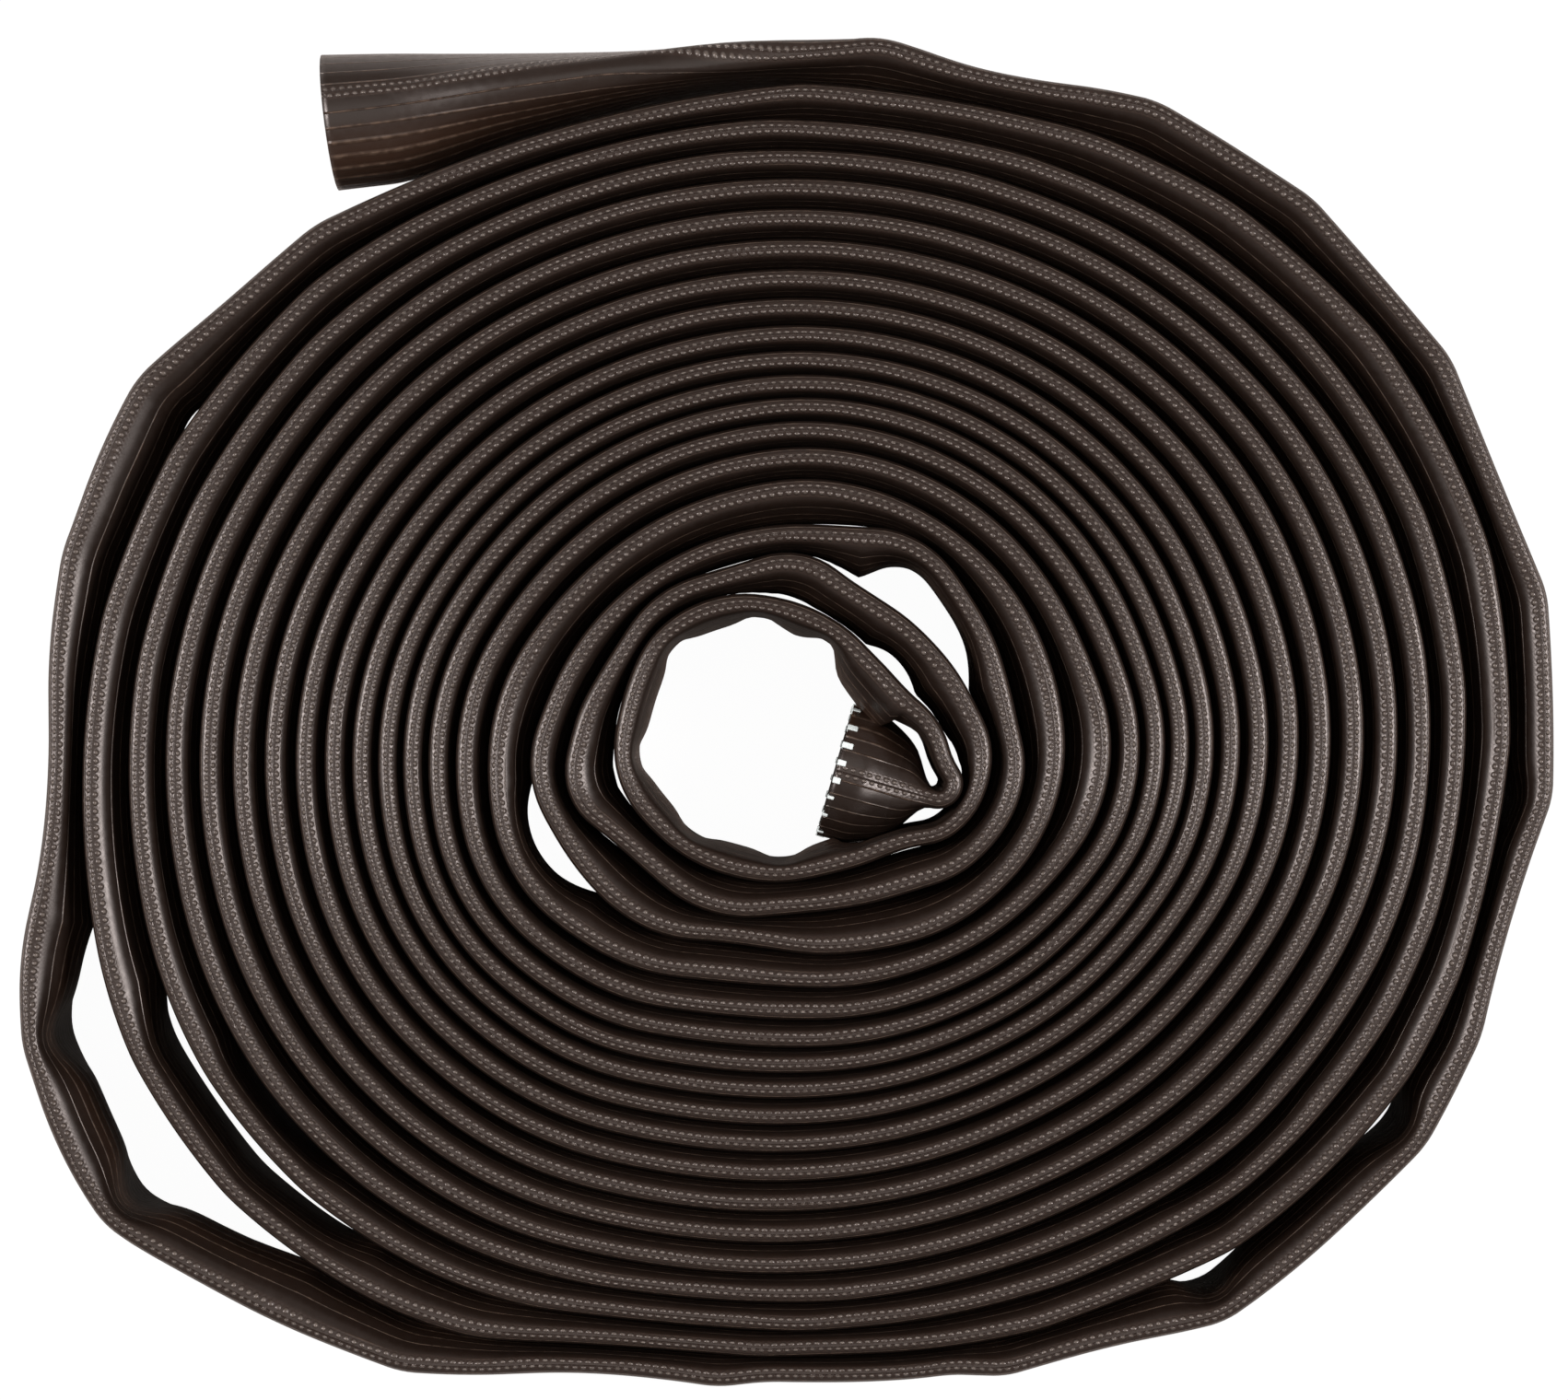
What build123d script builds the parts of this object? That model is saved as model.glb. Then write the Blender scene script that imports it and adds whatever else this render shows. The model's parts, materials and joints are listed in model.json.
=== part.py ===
"""Rolled lay-flat fire hose, standing on its edge in one flat spiral.

+Z is up and the roll stands on z = 0. The origin is under the middle of the roll's box.
The hose is followed from its outer end inwards, which is clockwise seen from above.
"""

import math
import os

from build123d import *

# ---- hose, in mm ----
BORE_RADIUS = 19.05  # 1 1/2 in bore when the hose is open
LINING = 0.7
JACKET = 0.6
COVER = 0.9
OPEN_RADIUS = BORE_RADIUS + LINING + JACKET + COVER
FLAT_WIDTH = 63.0  # lay-flat width, which is the height of the roll
FOLD_RADIUS = 3.1  # half the thickness of the flat hose
EDGE = 1.1  # corner cut off the folded edges where the hose is rolled
LAYERS = {
    "cover": (0.0, COVER),
    "jacket": (COVER, COVER + JACKET),
    "lining": (COVER + JACKET, COVER + JACKET + LINING),
}

# ---- roll ----
TURNS = 18.4
END_BEARING = 128.0  # bearing of the outer cut, anticlockwise from +X
POLE = (-1.3, -5.2)  # centre of the spiral
MEAN_RADIUS = (198.1, -67, -308, 192, 430, -434)  # powers of turn / TURNS
OFF_CENTRE = ((0.3, -8.4), (-10.2, 7.3))  # cos and sin, innermost value and growth outwards
OVAL = ((5.0, -0.5), (0.9, 2.7))  # the same for twice the bearing
# bearing, height, half width in degrees, and the turns over which it dies out
OUTER_SAGS = (
    (222, 60, 24, 1.4),
    (167, 60, 50, 1.2),
    (-47, 36, 29, 2.0),
    (0, 26, 50, 10),
    (33, 50, 50, 0.9),
)
INNER_SAGS = (
    (198, 12, 14, 5),
    (-13, 8, 15, 10),
    (80, 18, 49, 8.7),
    (131, 16, 9, 0.8),
    (-92, -13, 29, 10),
)
PACKED_BEARINGS = (108, 78, 48, 20, -8, -38, -68, -98, -128, -152, -175, -222)
PACKED_TURNS = (1.04, 15.36)
# bearing and radius where the loose turns bend
OUTER_TURN = (
    (84, 210),
    (72, 211.5),
    (60, 220),
    (40, 228),
    (20, 232.5),
    (4, 235),
    (-18, 230.5),
    (-34, 231.5),
    (-50, 226),
    (-66, 210.5),
    (-86, 199),
    (-104, 204),
    (-120, 225),
    (-134, 243.5),
    (-147, 255.5),
    (-160, 246.5),
    (-173, 228),
    (170, 224.5),
    (154, 223.5),
    (140, 213.5),
    (126, 203.5),
)
INNER_TURNS = (
    (-19, 84),
    (-45, 78.5),
    (-75, 69),
    (-100, 65),
    (-126, 72),
    (-152, 74.5),
    (-169, 76),
    (170, 69),
    (148, 63.3),
    (122, 59.5),
    (96, 59.2),
    (74, 61.8),
    (56, 68),
    (30, 67.6),
    (6, 68.5),
    (-14, 73),
    (-34, 69.5),
    (-56, 59.5),
    (-82, 54.5),
    (-112, 58),
    (-142, 59),
    (-165, 66),
    (180, 61.5),
    (160, 55.3),
    (132, 53),
    (110, 49.6),
    (84, 51),
    (60, 46.7),
    (36, 49),
    (12, 55),
    (-10, 62.3),
    (-30, 59.7),
    (-45, 49.7),
    (-64, 45.2),
    (-100, 45),
    (-135, 47.5),
    (-165, 50),
    (170, 47.3),
    (140, 45.8),
    (115, 41.8),
    (90, 36.8),
    (60, 33.6),
    (35, 33.4),
    (15, 37.5),
    (2, 44.5),
)

# ---- ends ----
OUTER_HEADING = 186.7  # the way the outer end points
OUTER_LENGTH = 165.0
OUTER_ROUND = 16.0  # fully round stretch at the cut
INNER_HEADING = 164.0
INNER_LENGTH = 31.0
INNER_ROUND = 7.0
BEND_AT = (60, 220)  # where the outermost turn first bends
FOLD_CENTRE = (47.6, -17.0)  # centre of the sharp fold at the inner end, from the pole
FOLD_BEND = 5.0
FOLD_HEADING = -57.0  # the way the hose points where the fold starts
# share of the opening length, half thickness, half height and fold radius of the hose as it opens
OUTER_OPENING = ((0.45, 5.6, 30.7, 3.6), (0.72, 12.0, 28.3, 7.0))
INNER_OPENING = ((0.35, 9.0, 29.7, 4.6), (0.68, 17.0, 25.3, 12.0))
YARN_COUNT = 25
YARN = (1.6, 2.4, 2.4)  # through the wall, along the rim, and out of the cut

MIDDLE = FLAT_WIDTH / 2
STRETCH = 30  # arcs swept at a time
os.makedirs("parts", exist_ok=True)


def wrap(angle):
    return (angle + 180) % 360 - 180


def polar(bearing, radius):
    a = math.radians(bearing)
    return Vector(POLE[0] + radius * math.cos(a), POLE[1] + radius * math.sin(a), MIDDLE)


def direction(heading):
    return Vector(math.cos(math.radians(heading)), math.sin(math.radians(heading)), 0)


def packed_radius(turn):
    """Radius of the spiral a number of turns in from the outer cut."""
    bearing = END_BEARING - 360 * turn
    inwards = turn / TURNS
    radius = sum(c * inwards**i for i, c in enumerate(MEAN_RADIUS))
    for times, (cosine, sine) in ((1, OFF_CENTRE), (2, OVAL)):
        a = math.radians(times * bearing)
        radius += (cosine[0] + cosine[1] * (1 - inwards)) * math.cos(a)
        radius += (sine[0] + sine[1] * (1 - inwards)) * math.sin(a)
    for sags, depth in ((OUTER_SAGS, turn), (INNER_SAGS, TURNS - turn)):
        for at, height, width, decay in sags:
            radius += height * math.exp(-((wrap(bearing - at) / width) ** 2) - depth / decay)
    return radius


def packed_points():
    """The packed turns, from the outermost inwards."""
    turns = sorted(
        whole + wrap(END_BEARING - bearing) / 360
        for bearing in PACKED_BEARINGS
        for whole in range(20)
    )
    first, last = PACKED_TURNS
    return [
        polar(END_BEARING - 360 * turn, packed_radius(turn))
        for turn in turns
        if first < turn < last
    ]


def joint_of_arcs(a, a_dir, b, b_dir):
    """Where two arcs meet that leave a and reach b in the given directions."""
    across = b - a
    square = 2 * (1 - a_dir.dot(b_dir))
    linear = 2 * across.dot(a_dir + b_dir)
    reach = (math.sqrt(linear**2 + 4 * square * across.dot(across)) - linear) / (2 * square)
    return (a + a_dir * reach + b - b_dir * reach) * 0.5


def bends(points, first, last):
    """Directions along a line of points: at each, that of the circle through its neighbours."""
    out = [first]
    for before, here, after in zip(points, points[1:], points[2:]):
        u, v = here - before, after - here
        out.append((u.normalized() * v.length + v.normalized() * u.length).normalized())
    return out + [last]


def arcs(points, directions):
    """A pair of tangent arcs from each point to the next."""
    out = []
    for a, b, a_dir, b_dir in zip(points, points[1:], directions, directions[1:]):
        middle = joint_of_arcs(a, a_dir, b, b_dir)
        out.append(TangentArc(a, middle, tangent=a_dir, mode=Mode.PRIVATE))
        out.append(TangentArc(b, middle, tangent=-b_dir, mode=Mode.PRIVATE))
    return out


def outline(depth, half, height, fold, mode=Mode.ADD):
    """Hose section at a depth below its surface: two folds joined by two long sides."""
    flat = half == fold != height
    rise = height - fold
    lean = math.radians(0 if flat else 45)
    if half != fold:
        side = (half**2 + rise**2 - fold**2) / (2 * (half - fold))
        lean = math.atan2(rise, side - half)
    x = (fold - depth) * math.cos(lean)
    y = rise + (fold - depth) * math.sin(lean)
    with BuildLine() as rim:
        for turned in (1, -1):
            ThreePointArc((turned * x, turned * y), (0, turned * (height - depth)), (-turned * x, turned * y))
            if flat:
                Line((-turned * x, turned * y), (-turned * x, -turned * y))
            else:
                ThreePointArc(
                    (-turned * x, turned * y), (turned * (depth - half), 0), (-turned * x, -turned * y)
                )
    make_face(rim.edges(), mode=mode)


def across(origin, heading):
    """Plane across the hose, its x to the left of the heading and its y up."""
    return Plane(origin=origin, x_dir=Vector(0, 0, 1).cross(heading), z_dir=heading)


FLAT = (FOLD_RADIUS, FLAT_WIDTH / 2, FOLD_RADIUS)
ROUND = (OPEN_RADIUS, OPEN_RADIUS, OPEN_RADIUS)


def swept(line, depths):
    """The rolled hose along a line of arcs, swept a stretch at a time and sewn into one solid."""
    skin = ShapeList()
    for first in range(0, len(line), STRETCH):
        path = Wire(line[first : first + STRETCH])
        with BuildPart() as stretch:
            with BuildSketch(across(path @ 0, path % 0)) as ring:
                Rectangle(2 * (FOLD_RADIUS - depths[0]), FLAT_WIDTH - 2 * depths[0])
                if depths[0] == 0:
                    chamfer(ring.vertices(), EDGE)
                Rectangle(2 * (FOLD_RADIUS - depths[1]), FLAT_WIDTH - 2 * depths[1], mode=Mode.SUBTRACT)
            sweep(path=path, clean=False)
        upright = stretch.faces().filter_by(GeomType.PLANE).filter_by(Axis.Z, reverse=True)
        caps = upright.sort_by_distance(path @ 0)
        skin += stretch.faces() - caps
        if first == 0:
            skin.append(caps[0])
    skin.append(caps[-1])
    with BuildPart() as layer:
        add(Solid(Shell(skin)), clean=False)
    return layer


def opened(origin, heading, length, round_length, opening, depths):
    """An end that opens from flat to fully round."""
    round_start = origin + heading * (length - round_length)
    with BuildPart() as layer:
        for depth, mode in zip(depths, (Mode.ADD, Mode.SUBTRACT)):
            for share, *shape in ((0.0, *FLAT), *opening, (1.0, *ROUND)):
                with BuildSketch(across(origin + (round_start - origin) * share, heading)):
                    outline(depth, *shape)
            loft(mode=mode)
            with BuildSketch(across(round_start, heading)):
                outline(depth, *ROUND)
            extrude(amount=round_length, mode=mode)
    return layer


def save(layer, name):
    layer.part.label = name
    export_step(layer.part, f"parts/{name}.step")


# ---- the hose's middle line ----
start = polar(*OUTER_TURN[0])
points = [polar(*p) for p in OUTER_TURN] + packed_points() + [polar(*p) for p in INNER_TURNS]
fold_centre = Vector(POLE[0] + FOLD_CENTRE[0], POLE[1] + FOLD_CENTRE[1], MIDDLE)
points.append(fold_centre + direction(FOLD_HEADING + 90) * FOLD_BEND)
directions = bends(points, direction(OUTER_HEADING + 180), direction(FOLD_HEADING))
split = OUTER_TURN.index(BEND_AT)
inner_start = fold_centre + direction(INNER_HEADING + 90) * FOLD_BEND
fold = TangentArc(points[-1], inner_start, tangent=directions[-1], mode=Mode.PRIVATE)
bend_line = arcs(points[: split + 1], directions[: split + 1])
coil_line = arcs(points[split:], directions[split:]) + [fold]

# ---- coil, bend, outer end and inner end, each in three bonded layers ----
outwards, inwards = direction(OUTER_HEADING), direction(INNER_HEADING)
for layer_name, depths in LAYERS.items():
    save(swept(coil_line, depths), f"coil_{layer_name}")
    save(swept(bend_line, depths), f"bend_{layer_name}")
    outer = opened(start, outwards, OUTER_LENGTH, OUTER_ROUND, OUTER_OPENING, depths)
    save(outer, f"outer_end_{layer_name}")
    inner = opened(inner_start, inwards, INNER_LENGTH, INNER_ROUND, INNER_OPENING, depths)
    save(inner, f"inner_end_{layer_name}")

# ---- jacket yarns that stick out of the inner cut ----
inner_cut = inner_start + inwards * INNER_LENGTH
with BuildPart() as yarn_ends:
    with BuildSketch(across(inner_cut, inwards)):
        with PolarLocations(BORE_RADIUS + LINING + JACKET / 2, YARN_COUNT):
            Rectangle(YARN[0], YARN[1])
    extrude(amount=YARN[2])
save(yarn_ends, "yarn_ends")
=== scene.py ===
"""Looks of the rolled fire hose: ribbed rubber cover, jacket and lining at the two cuts, white yarn ends.

Lengths are in metres. Along the hose, "run" is measured from the outer cut inwards, which is clockwise seen
from above, so the left of the run is the outside of the roll.
"""

import json
import math

import bpy
import numpy as np
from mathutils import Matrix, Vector
from mathutils.kdtree import KDTree


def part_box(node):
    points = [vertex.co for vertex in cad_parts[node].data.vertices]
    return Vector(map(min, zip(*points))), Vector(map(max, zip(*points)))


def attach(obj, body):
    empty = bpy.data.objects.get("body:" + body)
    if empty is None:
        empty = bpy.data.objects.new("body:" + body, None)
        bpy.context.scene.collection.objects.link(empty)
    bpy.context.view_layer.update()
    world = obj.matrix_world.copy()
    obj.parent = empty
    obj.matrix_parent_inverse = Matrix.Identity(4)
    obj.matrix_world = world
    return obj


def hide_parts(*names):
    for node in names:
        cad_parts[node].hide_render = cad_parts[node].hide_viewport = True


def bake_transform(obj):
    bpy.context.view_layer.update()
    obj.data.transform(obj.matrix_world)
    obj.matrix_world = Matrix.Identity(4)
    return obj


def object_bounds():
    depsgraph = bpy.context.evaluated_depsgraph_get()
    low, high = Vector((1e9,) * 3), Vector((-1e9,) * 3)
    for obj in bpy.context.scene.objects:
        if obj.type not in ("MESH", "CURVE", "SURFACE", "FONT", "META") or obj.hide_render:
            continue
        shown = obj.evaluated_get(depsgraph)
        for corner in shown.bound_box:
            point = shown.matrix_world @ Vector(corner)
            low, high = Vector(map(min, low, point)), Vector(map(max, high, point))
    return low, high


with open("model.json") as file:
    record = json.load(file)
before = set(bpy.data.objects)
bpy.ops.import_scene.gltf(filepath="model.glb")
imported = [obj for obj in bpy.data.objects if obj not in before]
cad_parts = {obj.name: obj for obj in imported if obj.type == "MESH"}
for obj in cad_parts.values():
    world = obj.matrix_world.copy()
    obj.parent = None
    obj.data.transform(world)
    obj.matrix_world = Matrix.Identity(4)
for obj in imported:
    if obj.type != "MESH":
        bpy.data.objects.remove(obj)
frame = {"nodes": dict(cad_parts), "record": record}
cad_low, cad_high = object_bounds()
coil_low, coil_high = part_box("coil_cover")
MM = 0.001
FOOT = coil_low[2]
HEIGHT = coil_high[2] - FOOT

# ---- the hose's section ----
FOLD = 3.1 * MM  # radius of the folded edges
EDGE = 1.1 * MM  # corner cut off the CAD's folded edges
OPEN = 21.25 * MM  # outside radius where the hose is open
COVER, JACKET, LINING = 0.9 * MM, 0.6 * MM, 0.7 * MM
RIB_PITCH = 4.77  # mm around the section
STITCH_PITCH = 2.6  # mm along the crown
STITCH_ROWS = (1.1, -1.1)  # mm from the middle of the lane
LANE_SHIFT = 0.6  # mm inwards from the crown
LANE_WANDER = 2.2  # mm
LANE_EDGE = (2.7, 1.9)  # mm from the middle of the lane: where it ends, and where it is whole

# ---- the roll ----
STEP = 2.0 * MM  # along the hose
COIL_PIECES = 5
# bearings of the outermost turn's kinks, in degrees
PINCHED = (84, 59, 45, 29, 10, -5, -24, -33, -53, -71, -96, -121, -144, -157, 166, 151.5, 133)
PINCH_SHIFT = 4  # degrees that the kinks move on each turn inwards
PINCH_TURNS = 4
PINCH_LOSS = (0.45, 0.1)  # strength of the kinks inside the outermost turn, and what each turn takes off it
PINCH_LENGTH = 11 * MM
LOOSE_RADIUS = 0.22  # of the loose turns
SAG = 3.4 * MM  # most that a side between two kinks is flatter than the spiral
BULGE = 12.0 * MM  # most that an inner wall swells
INNERMOST_BULGE = 3.4 * MM
FOLD_BULGE = (65 * MM, 9.0 * MM)  # length of hose before the fold, and most that it swells
INNERMOST_PINCHED = (143, 191, 230, 270, 62, 100)  # bearings
INNERMOST_PINCH = (1.3, 7 * MM)  # strength and length
INNERMOST_TURNS = 1.15
INNERMOST_START = (17.4, 17.52)  # turns over which the eye's wall begins
CLEAR = 0.35 * MM  # kept free between turns
OUTER_PUSH = 0.9 * MM  # how far the outermost turn stands further out than the CAD's
POLE_OFFSET = np.array([-1.3, -5.2]) * MM  # the spiral's centre, from the middle of the roll's width
TAIL_STRAIGHT = 0.9  # how straight the outer end's outer edge is
# where the floor shows between turns: bearings from and to, most that the inner wall swells there in mm, turns
OPENINGS = (
    (196, 226, 8.5, -0.4, 1.4),
    (203, 232, 3.6, 1.4, 2.4),
    (208, 226, 2.0, 2.4, 3.4),
    (304, 332, 6.5, 0.2, 1.6),
    (304, 328, 3.0, 1.6, 3.6),
    (348, 355, 2.5, 0.2, 1.3),
    (8, 62, 1.5, 16.0, 17.0),
    (20, 46, 3.0, 17.0, 17.5),
    (189, 222, 2.5, 14.0, 15.0),
)

LEVEL_TOLERANCE = 0.008 * MM  # how far from the fold's edge a mesh point still counts as on it
SAME_POINT = 0.002 * MM
SAME_TURN = 60 * MM  # nearer than this along the hose, two points aren't neighbouring turns
MOST_ROOM = 20 * MM
NEIGHBOUR_REACH = 26 * MM
STRAY = 8  # points in the longest chain that isn't an edge of the hose

record = frame["record"]
joints = {j["name"]: j for j in record["behaviour"]["joints"]}
mounts = {m["name"]: m for m in record["mounts"]}


def smooth(x, a, b):
    t = np.clip((x - a) / (b - a), 0, 1)
    return t * t * (3 - 2 * t)


# ---- the hose's middle line, from the CAD frame ----
def chains(node):
    """The two edges where the top fold meets the sides, each as a list of points in order."""
    mesh = frame["nodes"][node].data
    points = np.zeros(len(mesh.vertices) * 3)
    mesh.vertices.foreach_get("co", points)
    points = points.reshape(-1, 3)
    pairs = np.zeros(len(mesh.edges) * 2, int)
    mesh.edges.foreach_get("vertices", pairs)
    pairs = pairs.reshape(-1, 2)
    on = np.abs(points[:, 2] - FOOT - (HEIGHT - EDGE)) < LEVEL_TOLERANCE
    keys = np.round(points[:, :2] / SAME_POINT).astype(int)
    _, first, index = np.unique(keys[on], axis=0, return_index=True, return_inverse=True)
    place = points[on][first][:, :2]
    number = np.full(len(points), -1)
    number[np.where(on)[0]] = index.ravel()
    pairs = number[pairs]
    pairs = pairs[(pairs >= 0).all(1) & (pairs[:, 0] != pairs[:, 1])]
    near = [set() for _ in place]
    for a, b in pairs:
        near[a].add(b)
        near[b].add(a)
    left = set(range(len(place)))
    out = []
    while left:
        seed = next(iter(left))
        group, todo = {seed}, [seed]
        while todo:
            for n in near[todo.pop()] - group:
                group.add(n)
                todo.append(n)
        left -= group
        if len(group) > STRAY:
            out.append((group, place, near))
    return out


def walked(group, place, near, start):
    """The points of a chain in order, from the one nearest start."""
    here = min(group, key=lambda i: np.hypot(*(place[i] - start)))
    seen, order = {here}, [here]
    while True:
        ahead = [n for n in near[here] if n not in seen]
        if not ahead:
            return place[order]
        here = min(ahead, key=lambda i: np.hypot(*(place[i] - place[order[-1]])))
        seen.add(here)
        order.append(here)


def circle_directions(p):
    """At each point, the direction of the circle through it and its neighbours."""
    u, v = p[1:-1] - p[:-2], p[2:] - p[1:-1]
    lu, lv = np.hypot(*u.T)[:, None], np.hypot(*v.T)[:, None]
    d = u / lu * lv + v / lv * lu
    d /= np.hypot(*d.T)[:, None]
    first, last = u[0] / lu[0], v[-1] / lv[-1]
    first = 2 * (first @ d[0]) * first - d[0]
    last = 2 * (last @ d[-1]) * last - d[-1]
    return np.vstack([first, d, last])


def hermite(p, d, step):
    """Points about a step apart along a line given by points and directions."""
    out = []
    for a, b, da, db in zip(p, p[1:], d, d[1:]):
        span = np.hypot(*(b - a))
        n = max(1, int(round(span / step)))
        t = (np.arange(n) / n)[:, None]
        out.append(
            (2 * t**3 - 3 * t**2 + 1) * a
            + (t**3 - 2 * t**2 + t) * span * da
            + (3 * t**2 - 2 * t**3) * b
            + (t**3 - t**2) * span * db
        )
    return np.vstack(out + [p[-1:]])


def middle(node, start):
    """Middle line of a hose length, from the end nearest start: points and directions."""
    sides = [walked(*group, start) for group in chains(node)]
    sides.sort(key=len)
    near, far = sides[-1], sides[-2]
    directions = circle_directions(near)
    left = np.stack([-directions[:, 1], directions[:, 0]], 1)
    sign = 1 if (far[0] - near[0]) @ left[0] > 0 else -1
    return near + sign * FOLD * left, directions


def flat(v):
    return np.array(v[:2], float)


def cut_of(mount):
    """Middle of the cut that a mount's bore opens at."""
    bore = mounts[mount]
    return flat(bore["pos_m"]) + flat(bore["axis"]) * bore["dims"]["length_mm"] * MM / 2


outer_axis, inner_axis = flat(mounts["outer_end_bore"]["axis"]), flat(mounts["inner_end_bore"]["axis"])
outer_cut, inner_cut = cut_of("outer_end_bore"), cut_of("inner_end_bore")
bend_points, bend_directions = middle("bend_cover", flat(joints["outer_end_hinge"]["pos_m"]))
coil_points, coil_directions = middle("coil_cover", flat(joints["bend_hinge"]["pos_m"]))
line = np.vstack(
    [
        outer_cut + (bend_points[0] - outer_cut) * np.linspace(0, 1, 80, endpoint=False)[:, None],
        hermite(bend_points, bend_directions, STEP)[:-1],
        hermite(coil_points, coil_directions, STEP)[:-1],
        coil_points[-1] + (inner_cut - coil_points[-1]) * np.linspace(0, 1, 21)[:, None],
    ]
)
steps = np.hypot(*np.diff(line, axis=0).T)
run = np.concatenate([[0], np.cumsum(steps)])


def run_at(point):
    return run[np.argmin(np.hypot(*(line - point).T))]


RUN_TAIL = run_at(bend_points[0])
RUN_COIL = run_at(coil_points[0])
RUN_FOLD = run_at(coil_points[-1])
RUN_END = run[-1]

tangent = np.gradient(line, run, axis=0)
tangent /= np.hypot(*tangent.T)[:, None]
outwards = np.stack([-tangent[:, 1], tangent[:, 0]], 1)


# ---- room between neighbouring turns ----
# half widths of the inner end, at shares of its length from the fold
INNER_WIDTHS = ((0, 0.27, 0.53, 1), (FOLD, 14 * MM, 19 * MM, OPEN))
half_width = np.interp((run - RUN_FOLD) / (RUN_END - RUN_FOLD), *INNER_WIDTHS)


def room():
    """Free width beside the inner wall at each point of the line, at most MOST_ROOM."""
    tree = KDTree(len(line))
    for i, (x, y) in enumerate(line):
        tree.insert((x, y, 0), i)
    tree.balance()
    out = np.full(len(line), MOST_ROOM)
    for i, p in enumerate(line):
        for at, j, distance in tree.find_range((p[0], p[1], 0), NEIGHBOUR_REACH):
            across_fold = run[j] > RUN_FOLD > run[i] + 8 * MM
            if abs(run[j] - run[i]) < SAME_TURN and not across_fold:
                continue
            inwards = -(flat(at) - p) @ outwards[i]
            if inwards > 0.8 * distance:
                out[i] = min(out[i], distance - FOLD - half_width[j])
    return np.clip(out, 0, None)


ROOM = room()
ROOM = np.minimum(ROOM, np.convolve(np.pad(ROOM, 4, mode="edge"), np.ones(9) / 9, "valid"))

pole = np.array([(cad_low[0] + cad_high[0]) / 2, 0]) + POLE_OFFSET
bearing = np.degrees(np.arctan2(*(line - pole).T[::-1]))
turn = -np.unwrap(np.radians(bearing)) / (2 * math.pi)
turn -= turn[0]


def kinks():
    """Run of each kink, and how strong it is."""
    out = []
    for whole in range(PINCH_TURNS):
        for at in PINCHED:
            away = (bearing[0] - at - PINCH_SHIFT * whole) / 360 % 1 + whole
            i = np.argmin(np.abs(turn - away))
            out.append((run[i], 1 if whole == 0 else PINCH_LOSS[0] - PINCH_LOSS[1] * whole))
    return out


def softened(values, width):
    """Running mean over a width along the hose."""
    n = int(width / STEP) // 2
    return np.convolve(np.pad(values, n, mode="edge"), np.ones(2 * n + 1) / (2 * n + 1), "valid")


KINKS = [k for k in kinks() if k[0] > RUN_TAIL * 0.7]
pinch = np.zeros(len(line))
innermost = turn > turn[-1] - INNERMOST_TURNS
for at in INNERMOST_PINCHED:
    away = np.radians(np.abs((bearing - at + 180) % 360 - 180)) * np.hypot(*(line - pole).T)
    pinch = np.maximum(pinch, innermost * INNERMOST_PINCH[0] * np.exp(-((away / INNERMOST_PINCH[1]) ** 2)))
for at, strength in KINKS:
    pinch = np.maximum(pinch, strength * np.exp(-(((run - at) / PINCH_LENGTH) ** 2)))

# straight sides between the kinks of the loose turns
flatter = np.zeros(len(line))
for (a, strength), (b, _) in zip(KINKS, KINKS[1:]):
    side = (run > a) & (run < b)
    sag = min(SAG, (b - a) ** 2 / (8 * LOOSE_RADIUS)) * strength
    flatter[side] = sag * (1 - ((run[side] - (a + b) / 2) / (b - a) * 2) ** 2)
spare = softened(np.clip(ROOM - CLEAR, 0, None), 14 * MM)
spare = np.minimum(spare, np.clip(ROOM - CLEAR, 0, None))
flatter = softened(np.minimum(flatter, spare), 8 * MM)
flatter[run < RUN_TAIL] = 0
flatter *= smooth(run, RUN_TAIL, RUN_TAIL + 0.02)
outer_push = OUTER_PUSH * (1 - smooth(turn, 0.85, 1.0)) * smooth(run, RUN_TAIL, RUN_TAIL + 0.03)
line = line + outwards * (outer_push - flatter)[:, None]

# swelling of the inner walls
most = BULGE - (BULGE - INNERMOST_BULGE) * smooth(turn, *INNERMOST_START)
most = np.where(run > RUN_FOLD - FOLD_BULGE[0], FOLD_BULGE[1], most)
open_here = innermost * 0.8
for first, last, limit, turn_from, turn_to in OPENINGS:
    inside = ((bearing - first) % 360 < last - first) & (turn > turn_from) & (turn < turn_to)
    most[inside] = limit * MM
    open_here[inside] = 1
most = softened(softened(most, 30 * MM), 20 * MM)
held = 1 - pinch * (0.1 + 0.8 * softened(open_here, 30 * MM))
swell = np.minimum(most, np.clip(spare - flatter + 0.5 * outer_push, 0, None)) * held
swell = np.clip(swell, 0, None)
swell *= smooth(run, RUN_TAIL - 0.05, RUN_TAIL + 0.01) * (1 - smooth(run, RUN_FOLD - 0.016, RUN_FOLD - 0.006))

# ---- section: (half thickness, half height, fold radius) where the hose is flat, opens and is round ----
FLAT = (FOLD, HEIGHT / 2, FOLD)
ROUND = (OPEN, OPEN, OPEN)
# shares of an end's length from its cut, with the section there
OUTER_SHAPES = (
    (0.0, ROUND),
    (0.097, ROUND),
    (0.35, (12.0 * MM, 28.3 * MM, 7.0 * MM)),
    (0.594, (5.6 * MM, 30.7 * MM, 3.6 * MM)),
    (1.0, FLAT),
)
INNER_SHAPES = (
    (0.0, ROUND),
    (0.226, ROUND),
    (0.474, (18.8 * MM, 24.6 * MM, 13.0 * MM)),
    (0.729, (13.6 * MM, 28.2 * MM, 7.9 * MM)),
    (1.0, FLAT),
)
GIRTH = 66.6  # mm, half the way around the section
SPANS = ((-6, 6, 13), (-60, -6, 13), (6, 60, 13), (-GIRTH, -60, 5), (60, GIRTH, 5))
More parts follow.
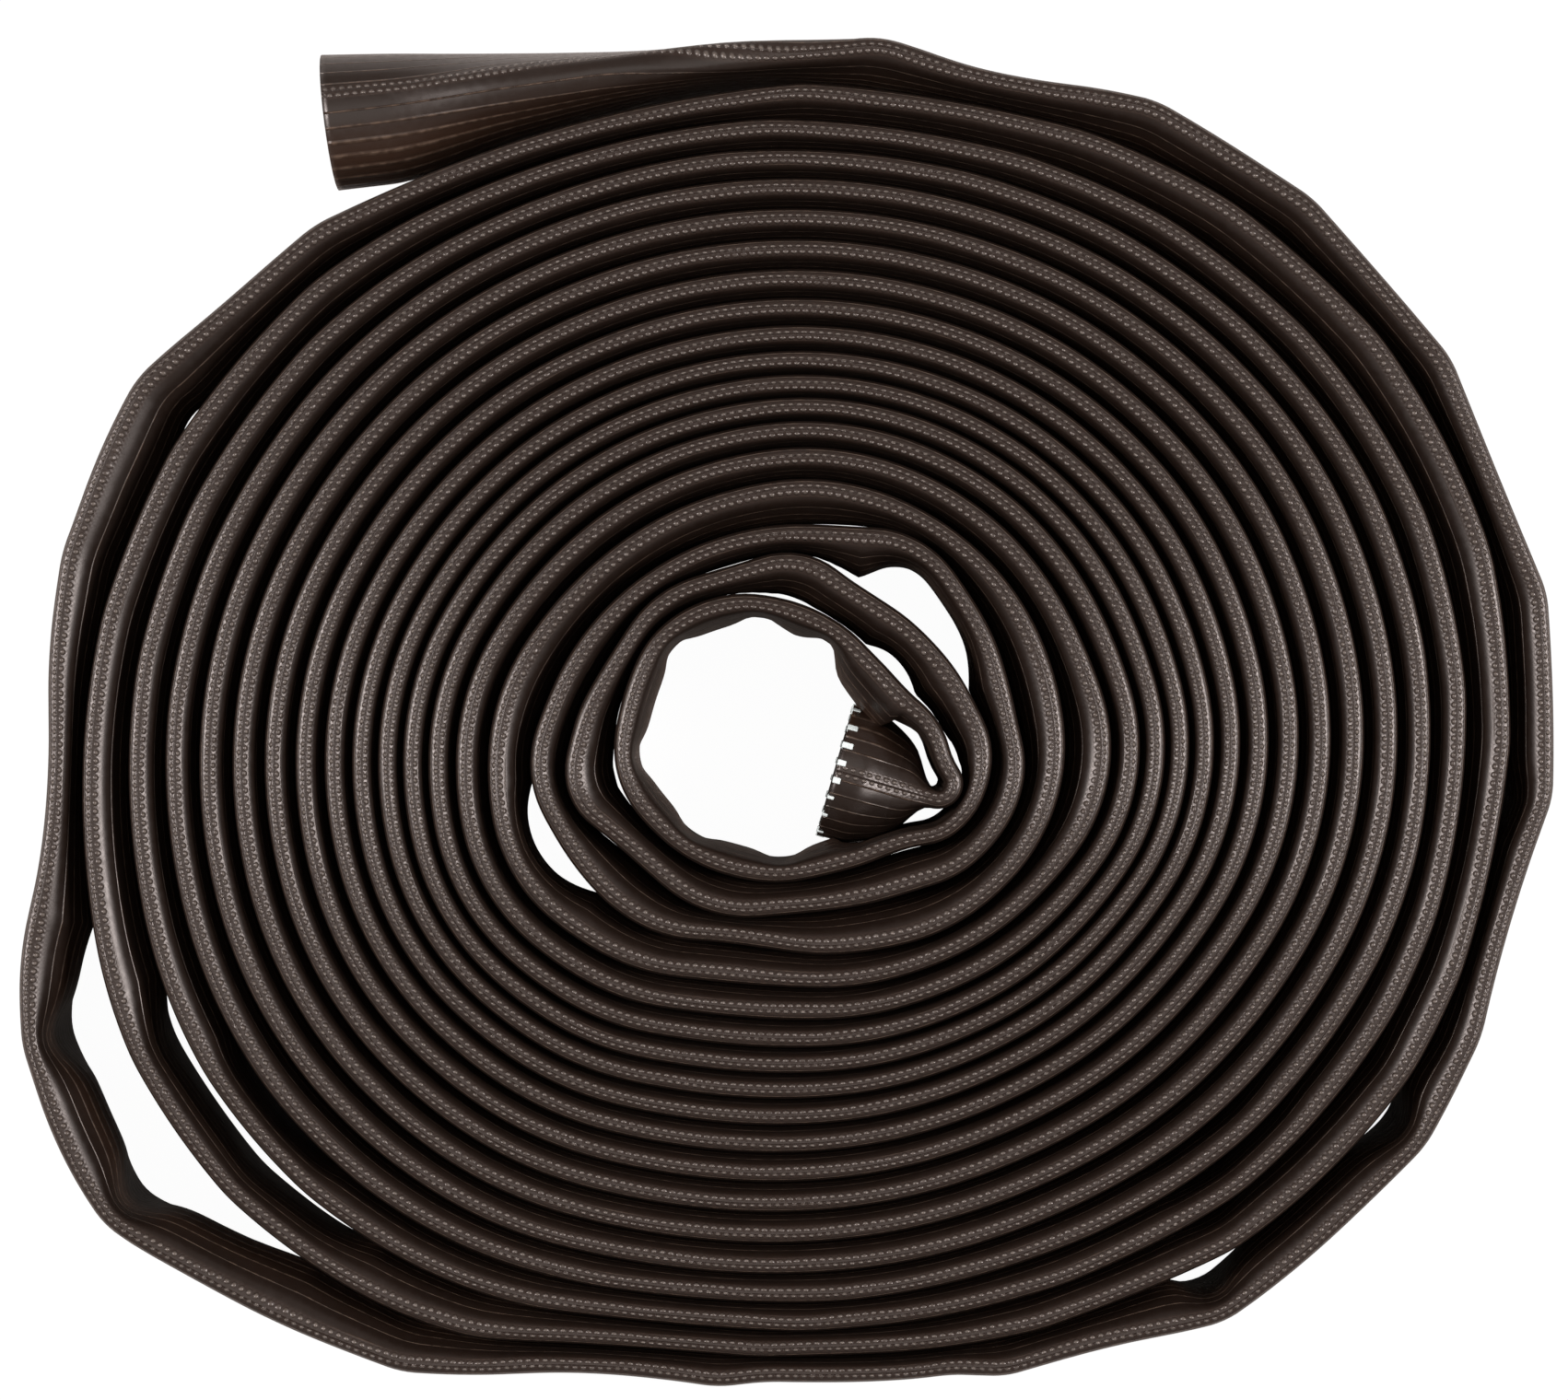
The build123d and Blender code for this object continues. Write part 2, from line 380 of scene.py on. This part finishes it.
# mm from the crown, outwards positive
AROUND = np.unique(np.concatenate([np.linspace(*span) for span in SPANS]))
CROWN_NARROW = 0.12  # how much slimmer the top fold is than the CAD's
CROWN_LEAN = 7.2  # mm around the section that the crown has turned outwards at the outer cut
DENSE = np.linspace(-1, 1, 481)  # shares of half the section's girth, from the crown


def outline(half, height, fold, depth=0.0):
    """Section points at DENSE: x outwards and y up from the middle of the hose."""
    rise = height - fold
    if half == fold:
        lean = 0 if height > half else math.radians(45)
        large, centre = half, 0
    else:
        large = (half**2 + rise**2 - fold**2) / (2 * (half - fold))
        centre = half - large
        lean = math.atan2(rise, -centre)
    top, side = np.linspace(math.pi / 2, lean, 60), np.linspace(lean, 0, 60)
    x = [np.cos(top) * (fold - depth)]
    y = [rise + np.sin(top) * (fold - depth)]
    if lean:
        x.append(centre + np.cos(side) * (large - depth))
        y.append(np.sin(side) * (large - depth))
    else:
        x.append(np.full(60, half - depth))
        y.append(np.linspace(rise, 0, 60))
    x, y = np.concatenate(x), np.concatenate(y)
    x, y = np.concatenate([x, x[::-1]]), np.concatenate([y, -y[::-1]])
    length = np.concatenate([[0], np.cumsum(np.hypot(np.diff(x), np.diff(y)))])
    at = np.abs(DENSE) * length[-1]
    return np.stack([np.interp(at, length, x) * np.sign(DENSE), np.interp(at, length, y)], 1)


def opening(share, shapes, depth=0.0):
    """Section of an end at shares of its length from the cut."""
    at = np.array([s for s, _ in shapes])
    stations = np.stack([outline(*shape, depth) for _, shape in shapes])
    slopes = np.gradient(stations, at, axis=0)
    slopes[:2] = 0
    slopes[-1] = 0
    i = np.clip(np.searchsorted(at, share, "right") - 1, 0, len(at) - 2)
    span = (at[i + 1] - at[i])[:, None, None]
    t = ((share - at[i]) / (at[i + 1] - at[i]))[:, None, None]
    return (
        (2 * t**3 - 3 * t**2 + 1) * stations[i]
        + (t**3 - 2 * t**2 + t) * span * slopes[i]
        + (3 * t**2 - 2 * t**3) * stations[i + 1]
        + (t**3 - t**2) * span * slopes[i + 1]
    )


def section(first, last, depth=0.0):
    """Sections of the rings first to last, at AROUND. The crown leans outwards at the outer cut."""
    r = run[first:last]
    dense = np.repeat(outline(*FLAT, depth)[None], len(r), 0)
    tail, eye = r < RUN_TAIL, r > RUN_FOLD
    if tail.any():
        dense[tail] = opening(r[tail] / RUN_TAIL, OUTER_SHAPES, depth)
    if eye.any():
        dense[eye] = opening((RUN_END - r[eye]) / (RUN_END - RUN_FOLD), INNER_SHAPES, depth)
    lean = CROWN_LEAN * (1 - smooth(r / RUN_TAIL, 0.5, 0.95))
    out = np.empty((len(r), len(AROUND), 2))
    for k, (ring, shift) in enumerate(zip(dense, lean)):
        at = (AROUND + shift) / GIRTH
        at = (at + 1) % 2 - 1 if shift else at
        out[k, :, 0] = np.interp(at, DENSE, ring[:, 0])
        out[k, :, 1] = np.interp(at, DENSE, ring[:, 1])
    return out


def slimmed(x, y):
    """The fold narrows towards the crown, where the hose is flat."""
    return x * (1 - CROWN_NARROW * smooth(y, HEIGHT / 2 - 12 * MM, HEIGHT / 2 - 2 * MM))


# how much of the swelling shows at shares of the hose's height
SWELL_HEIGHTS = np.array([0, 6, 20, 36, 48, 56, 60.5, 63]) / 63
SWELL_SHARES = np.array([0, 0.3, 0.72, 1.0, 0.85, 0.55, 0.25, 0])


def rings(first, last, depth=0.0):
    """Points of the hose's surface, ring by ring, with its swellings."""
    s = section(first, last, depth)
    x, y = s[:, :, 0], s[:, :, 1]
    r = run[first:last]
    flat_share = smooth(r, RUN_TAIL * 0.75, RUN_TAIL) * (1 - smooth(r, RUN_FOLD, RUN_FOLD + 0.01))
    x = x + (slimmed(x, y) - x) * flat_share[:, None]
    tail = r < RUN_TAIL
    straight = OPEN + (FOLD - OPEN) * np.clip(r / RUN_TAIL, 0, 1)
    wide = np.abs(x).max(1)
    wider = np.where(tail, 1 + (straight / wide - 1) * TAIL_STRAIGHT, 1)[:, None]
    x = np.where(x > 0, x * wider, x)
    inner = AROUND < 0
    share = np.interp(y[:, inner] / HEIGHT + 0.5, SWELL_HEIGHTS, SWELL_SHARES)
    x[:, inner] -= swell[first:last, None] * share
    place = line[first:last, None, :] + x[:, :, None] * outwards[first:last, None, :]
    return np.concatenate([place, y[:, :, None] + HEIGHT / 2 + FOOT], 2)


def grid(name, points, coords, flip=False):
    """A mesh of a grid of points, with the hose coordinates its materials read."""
    n, m = points.shape[:2]
    mesh = bpy.data.meshes.new(name)
    index = np.arange(n * m).reshape(n, m)
    quads = np.stack([index[:-1, :-1], index[1:, :-1], index[1:, 1:], index[:-1, 1:]], -1).reshape(-1, 4)
    if flip:
        quads = quads[:, ::-1]
    mesh.vertices.add(n * m)
    mesh.vertices.foreach_set("co", points.astype(np.float32).ravel())
    mesh.loops.add(len(quads) * 4)
    mesh.loops.foreach_set("vertex_index", quads.ravel().astype(np.int32))
    mesh.polygons.add(len(quads))
    mesh.polygons.foreach_set("loop_start", np.arange(0, len(quads) * 4, 4, dtype=np.int32))
    mesh.update(calc_edges=True)
    mesh.polygons.foreach_set("use_smooth", np.ones(len(quads), bool))
    layer = mesh.attributes.new("hose", "FLOAT_VECTOR", "POINT")
    layer.data.foreach_set("vector", coords.astype(np.float32).ravel())
    mesh.validate()
    thing = bpy.data.objects.new(name, mesh)
    bpy.context.scene.collection.objects.link(thing)
    return thing


def coordinates(first, last):
    """Run and distance from the crown, in mm, at every point of the rings."""
    along, around = np.meshgrid(run[first:last] / MM, AROUND, indexing="ij")
    return np.stack([along, around, np.zeros_like(along)], -1)


def index_of(distance):
    return int(np.argmin(np.abs(run - distance)))


# ---- materials ----
class Nodes:
    """A material's node tree, written as arithmetic."""

    def __init__(self, name):
        self.material = bpy.data.materials.new(name)
        self.material.use_nodes = True
        self.tree = self.material.node_tree
        self.tree.nodes.clear()
        self.output = self.tree.nodes.new("ShaderNodeOutputMaterial")

    def put(self, socket, value):
        if isinstance(value, bpy.types.NodeSocket):
            self.tree.links.new(value, socket)
        elif value is not None:
            socket.default_value = value

    def node(self, kind, settings=(), **inputs):
        made = self.tree.nodes.new(kind)
        for key, value in dict(settings).items():
            setattr(made, key, value)
        for key, value in inputs.items():
            self.put(made.inputs[key.replace("_", " ")], value)
        return made

    def math(self, operation, a, b=None, c=None):
        made = self.tree.nodes.new("ShaderNodeMath")
        made.operation = operation
        for socket, value in zip(made.inputs, (a, b, c)):
            self.put(socket, value)
        return made.outputs[0]

    def mix(self, share, a, b):
        made = self.tree.nodes.new("ShaderNodeMix")
        made.data_type = "RGBA"
        self.put(made.inputs["Factor"], share)
        self.put(made.inputs["A"], a)
        self.put(made.inputs["B"], b)
        return made.outputs["Result"]

    def hose(self):
        """Run and distance from the crown, in mm."""
        where = self.node("ShaderNodeAttribute", {"attribute_name": "hose"})
        parts = self.node("ShaderNodeSeparateXYZ", Vector=where.outputs["Vector"])
        return where.outputs["Vector"], parts.outputs["X"], parts.outputs["Y"]

    def ramp(self, value, start, end, low=0.0, high=1.0, interpolation="SMOOTHSTEP"):
        """Goes from low to high as the value goes from start to end."""
        made = self.node("ShaderNodeMapRange", {"interpolation_type": interpolation}, Value=value)
        for name, number in (("From Min", start), ("From Max", end), ("To Min", low), ("To Max", high)):
            made.inputs[name].default_value = number
        return made.outputs[0]

    def product(self, *values):
        out = values[0]
        for value in values[1:]:
            out = self.math("MULTIPLY", out, value)
        return out

    def noise(self, vector, scale, detail=2.0):
        return self.node("ShaderNodeTexNoise", Vector=vector, Scale=scale, Detail=detail).outputs["Fac"]


def ridge(n, distance, width):
    """One at no distance, falling to nothing at a width to either side."""
    return n.math("MAXIMUM", n.math("SUBTRACT", 1.0, n.math("DIVIDE", distance, width)), 0.0)


def stitch_row(n, run_mm, across, row, shift, long, wide):
    """Domes along a row of the crown's weave."""
    m = n.math
    step = m("FRACT", m("ADD", m("DIVIDE", run_mm, STITCH_PITCH), shift))
    along = m("ABSOLUTE", n.product(m("SUBTRACT", step, 0.5), STITCH_PITCH))
    aside = m("ABSOLUTE", m("SUBTRACT", across, row))
    square = m("ADD", m("POWER", m("DIVIDE", along, long), 2.0), m("POWER", m("DIVIDE", aside, wide), 2.0))
    return m("MAXIMUM", m("SUBTRACT", 1.0, square), 0.0)


def black_rubber():
    """Cover: fine lengthwise ribs, and along the crown a woven lane with two rows of stitches."""
    n = Nodes("black_rubber")
    m = n.math
    vector, run_mm, around = n.hose()

    # the crown's lane wanders a little across the fold
    along = n.node("ShaderNodeCombineXYZ", X=run_mm).outputs[0]
    wander = n.product(m("SUBTRACT", n.noise(along, 0.03, 1.0), 0.5), LANE_WANDER)
    crown = m("ADD", m("ADD", around, wander), LANE_SHIFT)
    lane = n.ramp(m("ABSOLUTE", crown), *LANE_EDGE)
    worn = n.ramp(n.noise(vector, 0.07), 0.35, 0.6, 0.35, 1.0, "LINEAR")
    outer_row = stitch_row(n, run_mm, crown, STITCH_ROWS[0], 0.0, 0.9, 0.72)
    inner_row = stitch_row(n, run_mm, crown, STITCH_ROWS[1], 0.5, 0.95, 0.75)
    stitches = n.product(m("MAXIMUM", outer_row, n.product(inner_row, 0.75)), worn)
    threads = [m("SINE", n.product(at, 2 * math.pi / pitch)) for at, pitch in ((run_mm, 1.6), (crown, 1.5))]
    weave = n.product(*threads, lane, 0.02)

    # ribs, finer on the outer walls than on the inner ones
    wall = n.ramp(around, -6.0, -24.0)
    step = m("SUBTRACT", m("FRACT", m("DIVIDE", around, RIB_PITCH)), 0.5)
    from_rib = n.product(m("ABSOLUTE", step), RIB_PITCH)
    beside_lane = m("SUBTRACT", 1.0, lane)
    rib = n.product(ridge(n, from_rib, m("ADD", 0.34, n.product(wall, 0.8))), beside_lane)
    groove = n.product(ridge(n, m("ABSOLUTE", around), 0.35), -0.25)
    grain = n.product(n.noise(vector, 1.3, 3.0), 0.02)
    lane_height = m("ADD", n.product(stitches, 0.9), weave)
    wall_height = m("ADD", m("ADD", n.product(rib, 0.22), groove), grain)
    height = m("ADD", lane_height, wall_height)
    bump = n.node("ShaderNodeBump", Strength=1.0, Distance=MM, Height=height)

    base = n.mix(n.noise(vector, 0.05), (0.0062, 0.0036, 0.0024, 1), (0.0120, 0.0074, 0.0054, 1))
    # painted bounce light: the inner walls are painted a lighter brown than the outer ones, standing in for
    # light bouncing onto them from below
    base = n.mix(wall, base, (0.022, 0.0115, 0.0070, 1))
    base = n.mix(n.product(lane, 0.7), base, (0.0190, 0.0125, 0.0098, 1))
    # painted highlight: the stitch tops are painted light grey, standing in for the glints of the side lamps
    # on the domes
    base = n.mix(n.product(stitches, 0.8), base, (0.160, 0.146, 0.132, 1))
    # painted highlight: the rib crests are painted lighter in broken dashes, standing in for light catching
    # the ribs
    dashes = n.ramp(n.noise(vector, 0.35, 1.0), 0.4, 0.62, 0.3, 1.0, "LINEAR")
    base = n.mix(n.product(rib, dashes, 0.9), base, (0.090, 0.064, 0.047, 1))
    rough = m("ADD", 0.26, n.product(n.noise(vector, 0.4), 0.22))
    shader = n.node("ShaderNodeBsdfPrincipled", Base_Color=base, Roughness=rough, Normal=bump.outputs[0])
    shader.inputs["Specular IOR Level"].default_value = 0.5
    n.tree.links.new(shader.outputs[0], n.output.inputs[0])
    return n.material


def plain(name, colour, rough, grain=0.0, scale=900.0):
    n = Nodes(name)
    place = n.node("ShaderNodeTexCoord").outputs["Object"]
    speckle = n.noise(place, scale, 3.0)
    base = n.mix(speckle, (*(c * 0.75 for c in colour), 1), (*(min(1.0, c * 1.2) for c in colour), 1))
    bump = n.node("ShaderNodeBump", Strength=1.0, Distance=grain, Height=speckle)
    shader = n.node("ShaderNodeBsdfPrincipled", Base_Color=base, Roughness=rough, Normal=bump.outputs[0])
    n.tree.links.new(shader.outputs[0], n.output.inputs[0])
    return n.material


RUBBER = black_rubber()
WOVEN = plain("woven_polyester", (0.30, 0.32, 0.32), 0.7, 0.2 * MM)
LINER = plain("lining_rubber", (0.018, 0.014, 0.011), 0.5, 0.05 * MM)
YARN = plain("white_yarn", (0.55, 0.66, 0.68), 0.6, 0.2 * MM, 1500.0)


def finished(thing, material, nodes):
    thing.data.materials.append(material)
    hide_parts(*nodes)
    return thing


def hose_piece(name, first, last, nodes):
    mesh = grid(name, rings(first, last + 1), coordinates(first, last + 1))
    return finished(mesh, RUBBER, nodes)


def layers(body):
    return [f"{body}_{layer}" for layer in ("cover", "jacket", "lining")]


def ahead(distance, reach):
    """Two points a reach to either side of a run distance, along the hose there."""
    i = index_of(distance)
    return Vector((*(line[i] - tangent[i] * reach), 0)), Vector((*(line[i] + tangent[i] * reach), 0))


# ---- coil ----
i_tail, i_coil, i_fold, i_end = index_of(RUN_TAIL), index_of(RUN_COIL), index_of(RUN_FOLD), len(run) - 1
i_mid = index_of((RUN_TAIL + RUN_COIL) / 2)
i_coil_start = index_of(RUN_COIL + 0.030)
i_tail_end = index_of(RUN_TAIL - 0.045)
i_fold_start = index_of(RUN_FOLD - 0.004)
i_fold_end = index_of(RUN_FOLD + 0.012)
cuts = np.linspace(i_coil_start, i_fold_start, COIL_PIECES + 1).astype(int)
for number, (first, last) in enumerate(zip(cuts, cuts[1:]), 1):
    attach(hose_piece(f"hose_coil_{number}", first, last, layers("coil")), "coil")

# ---- bends ----
outer_bend = hose_piece("hose_bend_1", i_mid, i_coil_start, layers("bend"))
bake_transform(outer_bend)
tail_bend = hose_piece("hose_bend_2", i_tail_end, i_mid, layers("bend"))
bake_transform(tail_bend)
fold_piece = hose_piece("hose_fold", i_fold_start, i_fold_end, layers("coil"))
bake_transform(fold_piece)


# ---- ends ----
def tube(name, first, last, outside, inside, cut_first):
    """A layer of an end: its outside, its cut and its inside, in one grid."""
    a, b = rings(first, last + 1, outside), rings(first, last + 1, inside)
    ca, cb = coordinates(first, last + 1), coordinates(first, last + 1)
    if cut_first:
        return grid(name, np.concatenate([b[::-1], a]), np.concatenate([cb[::-1], ca]))
    return grid(name, np.concatenate([a, b[::-1]]), np.concatenate([ca, cb[::-1]]))


for layer, material, slot, outside, inside in (
    ("cover", RUBBER, "black_rubber", 0.0, COVER),
    ("jacket", WOVEN, "woven_polyester", COVER, COVER + JACKET),
    ("lining", LINER, "lining_rubber", COVER + JACKET, COVER + JACKET + LINING),
):
    end = tube(f"outer_{layer}", 0, i_tail_end, outside, inside, True)
    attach(finished(end, material, [f"outer_end_{layer}"]), "outer_end")
    end = tube(f"inner_{layer}", i_fold_end, i_end, outside, inside, False)
    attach(finished(end, material, [f"inner_end_{layer}"]), "inner_end")


BLOCK_FACES = ((0, 3, 2, 1), (4, 5, 6, 7), (0, 1, 5, 4), (1, 2, 6, 5), (2, 3, 7, 6), (3, 0, 4, 7))


def block(name, blocks):
    """One mesh of many six-sided blocks, each given by its eight corners."""
    verts = np.concatenate(blocks)
    faces = []
    for k in range(len(blocks)):
        faces += [tuple(8 * k + i for i in face) for face in BLOCK_FACES]
    mesh = bpy.data.meshes.new(name)
    mesh.from_pydata([tuple(v) for v in verts], [], faces)
    thing = bpy.data.objects.new(name, mesh)
    bpy.context.scene.collection.objects.link(thing)
    bevel = thing.modifiers.new("soft", "BEVEL")
    bevel.width, bevel.segments = 0.25 * MM, 2
    return thing


YARN_SIDE = 0.3


def yarns():
    centre = np.array([*inner_cut, HEIGHT / 2 + FOOT])
    along = np.array([*inner_axis, 0])
    aside = np.array([-inner_axis[1], inner_axis[0], 0])
    up = np.array([0, 0, 1])
    out = []
    rng = np.random.default_rng(7)
    upper = [math.asin(v) for v in np.linspace(-0.93, 0.93, 8)]
    angles = [math.pi / 2 + a for a in upper] + list(np.linspace(-0.05, -math.pi + 0.05, 12))
    for k, a in enumerate(angles):
        ray = math.cos(a) * aside + math.sin(a) * up
        round_way = -math.sin(a) * aside + math.cos(a) * up
        big = 1.0 if k >= 8 or math.cos(a) < YARN_SIDE else 0.6
        wide = (0.85 + 0.2 * rng.random()) * MM * big
        back, front = -(1.8 + 1.2 * rng.random()) * MM * big, (0.2 + 0.3 * rng.random()) * MM
        inner_r, outer_r = OPEN - COVER - JACKET, OPEN + 0.25 * MM
        corners = []
        for along_at in (back, front):
            for r, w in ((inner_r, -wide), (outer_r, -wide), (outer_r, wide), (inner_r, wide)):
                corners.append(centre + along * along_at + ray * r + round_way * w)
        out.append(np.array(corners))
    return block("yarn_tufts", out)


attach(finished(yarns(), YARN, ["yarn_ends"]), "inner_end")

# ---- floor, light and camera ----
PALE = (0.93, 0.93, 0.92)
bpy.ops.mesh.primitive_plane_add(size=8, location=(0, 0, cad_low[2] - 0.1 * MM))
floor = bpy.context.object
floor.name = "floor"
n = Nodes("pale_floor")
seen = n.node("ShaderNodeLightPath").outputs["Is Camera Ray"]
glow = n.node("ShaderNodeEmission", Color=(1, 1, 1, 1), Strength=0.97)
matt = n.node("ShaderNodeBsdfDiffuse", Color=(*(c * 0.6 for c in PALE), 1))
thin = n.node("ShaderNodeBsdfDiffuse", Color=(0.05, 0.05, 0.05, 1))
both = n.node("ShaderNodeAddShader")
n.tree.links.new(glow.outputs[0], both.inputs[0])
n.tree.links.new(thin.outputs[0], both.inputs[1])
mixed = n.node("ShaderNodeMixShader")
n.tree.links.new(seen, mixed.inputs[0])
n.tree.links.new(matt.outputs[0], mixed.inputs[1])
n.tree.links.new(both.outputs[0], mixed.inputs[2])
n.tree.links.new(mixed.outputs[0], n.output.inputs[0])
floor.data.materials.append(n.material)

world = bpy.data.worlds.new("studio")
bpy.context.scene.world = world
world.use_nodes = True
tree = world.node_tree
tree.nodes.clear()
out = tree.nodes.new("ShaderNodeOutputWorld")
room_light = tree.nodes.new("ShaderNodeBackground")
room_light.inputs[0].default_value, room_light.inputs[1].default_value = (1, 0.82, 0.74, 1), 0.32
backdrop = tree.nodes.new("ShaderNodeBackground")
backdrop.inputs[0].default_value, backdrop.inputs[1].default_value = (1, 1, 1, 1), 1.0
path = tree.nodes.new("ShaderNodeLightPath")
mixer = tree.nodes.new("ShaderNodeMixShader")
tree.links.new(path.outputs["Is Camera Ray"], mixer.inputs[0])
tree.links.new(room_light.outputs[0], mixer.inputs[1])
tree.links.new(backdrop.outputs[0], mixer.inputs[2])
tree.links.new(mixer.outputs[0], out.inputs[0])


def area(name, place, size, power, colour):
    light = bpy.data.lights.new(name, "AREA")
    light.size, light.energy, light.color = size, power, colour
    thing = bpy.data.objects.new(name, light)
    bpy.context.scene.collection.objects.link(thing)
    thing.location = place
    thing.rotation_mode = "QUATERNION"
    thing.rotation_quaternion = Vector(place).to_track_quat("Z", "Y")


area("left_window", (-1.7, 0.3, 1.3), 0.8, 58, (1.0, 0.88, 0.84))
area("right_window", (1.7, 0.1, 1.3), 0.8, 58, (1.0, 0.88, 0.84))
area("overhead", (0.1, 0.3, 2.4), 1.6, 8, (1.0, 0.95, 0.9))

CAMERA_HEIGHT = 1.3  # above the top of the roll
VIEW_WIDTH = 0.480  # seen at the top of the roll
camera = bpy.data.objects.new("camera", bpy.data.cameras.new("camera"))
bpy.context.scene.collection.objects.link(camera)
centre = (cad_low + cad_high) / 2
camera.location = (centre[0] - 1.0 * MM, centre[1] + 3.3 * MM, cad_high[2] + CAMERA_HEIGHT)
camera.data.lens = camera.data.sensor_width * CAMERA_HEIGHT / VIEW_WIDTH
camera.data.clip_start, camera.data.clip_end = 0.05, 20
bpy.context.scene.camera = camera
bpy.context.scene.view_settings.view_transform = "Standard"
